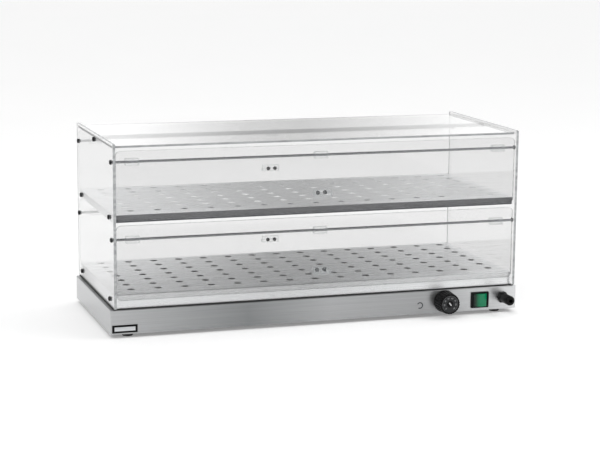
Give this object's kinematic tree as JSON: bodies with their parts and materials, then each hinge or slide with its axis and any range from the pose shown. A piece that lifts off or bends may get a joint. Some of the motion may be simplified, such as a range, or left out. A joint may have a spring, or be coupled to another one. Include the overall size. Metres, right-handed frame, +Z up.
{
  "type": "heated display case",
  "caption": "Two-tier heated counter display case: clear acrylic sides, top and hinged flaps front and rear on a stainless base with perforated shelves, knob and lit rocker.",
  "frame": {"origin": "on the ground, under the middle of the whole object's box", "axes": "+Z up, +X along the front to the right as seen from the front, +Y to the rear"},
  "size_m": [0.85, 0.3996, 0.377],
  "materials": {
    "stainless_steel": "satin",
    "clear_acrylic": "clear, polished",
    "black_screws": "black, semi gloss",
    "zinc_steel": "zinc plated",
    "black_rubber": "matt",
    "black_plastic": "moulded, fine grain",
    "control_plastic": "moulded",
    "green_lens": "translucent, lit",
    "copper": "drawn",
    "aluminium": "bright rolled"
  },
  "bodies": {
    "root": {"base_housing": "stainless_steel", "bottom_cover": "stainless_steel", "cover_screws": "zinc_steel", "feet": "black_rubber", "foot_screws": "zinc_steel", "foot_nuts": "zinc_steel", "base_seal": "black_rubber", "platform": "stainless_steel", "shelf": "stainless_steel", "side_panel_left": "clear_acrylic", "side_panel_right": "clear_acrylic", "top_panel": "clear_acrylic", "tie_rod": "stainless_steel", "side_screws_left": "black_screws", "side_screws_right": "black_screws", "flange_nuts": "zinc_steel", "front_lower_hinge_rod": "stainless_steel", "front_upper_hinge_rod": "stainless_steel", "rear_lower_hinge_rod": "stainless_steel", "rear_upper_hinge_rod": "stainless_steel", "thermostat_body": "control_plastic", "thermostat_nut": "zinc_steel", "sensor_bulb": "copper", "sensor_clips": "aluminium", "switch_housing": "black_plastic", "gland_body": "black_plastic", "gland_boot": "black_plastic", "gland_nut": "black_plastic", "heat_reflector": "aluminium", "reflector_spacers": "aluminium", "heating_element": "stainless_steel", "element_brackets": "stainless_steel", "terminal_block": "control_plastic", "earth_stud": "zinc_steel", "earth_nut": "zinc_steel"},
    "front_lower_flap": {"front_lower_door": "clear_acrylic", "front_lower_hinge_blocks": "clear_acrylic", "front_lower_handle": "clear_acrylic", "front_lower_handle_screws": "black_screws"},
    "front_upper_flap": {"front_upper_door": "clear_acrylic", "front_upper_hinge_blocks": "clear_acrylic", "front_upper_handle": "clear_acrylic", "front_upper_handle_screws": "black_screws"},
    "rear_lower_flap": {"rear_lower_door": "clear_acrylic", "rear_lower_hinge_blocks": "clear_acrylic", "rear_lower_handle": "clear_acrylic", "rear_lower_handle_screws": "black_screws"},
    "rear_upper_flap": {"rear_upper_door": "clear_acrylic", "rear_upper_hinge_blocks": "clear_acrylic", "rear_upper_handle": "clear_acrylic", "rear_upper_handle_screws": "black_screws"},
    "knob": {"thermostat_knob": "black_plastic", "thermostat_shaft": "zinc_steel"},
    "rocker": {"rocker_button": "green_lens"}
  },
  "joints": [
    {"name": "front_lower_flap_hinge", "type": "hinge", "parent": "root", "child": "front_lower_flap", "pos_m": [0, -0.14425, 0.191], "axis": [-1, 0, 0], "range_deg": [0, 95]},
    {"name": "front_upper_flap_hinge", "type": "hinge", "parent": "root", "child": "front_upper_flap", "pos_m": [0, -0.14425, 0.341], "axis": [-1, 0, 0], "range_deg": [0, 95]},
    {"name": "rear_lower_flap_hinge", "type": "hinge", "parent": "root", "child": "rear_lower_flap", "pos_m": [0, 0.17275, 0.191], "axis": [1, 0, 0], "range_deg": [0, 95]},
    {"name": "rear_upper_flap_hinge", "type": "hinge", "parent": "root", "child": "rear_upper_flap", "pos_m": [0, 0.17275, 0.341], "axis": [1, 0, 0], "range_deg": [0, 95]},
    {"name": "knob_turn", "type": "hinge", "parent": "root", "child": "knob", "pos_m": [0.266, -0.15655, 0.032], "axis": [0, 1, 0], "range_deg": [0, 270]},
    {"name": "rocker_tilt", "type": "hinge", "parent": "root", "child": "rocker", "pos_m": [0.344, -0.15275, 0.03], "axis": [0, 0, 1], "range_deg": [0, 16]}
  ]
}
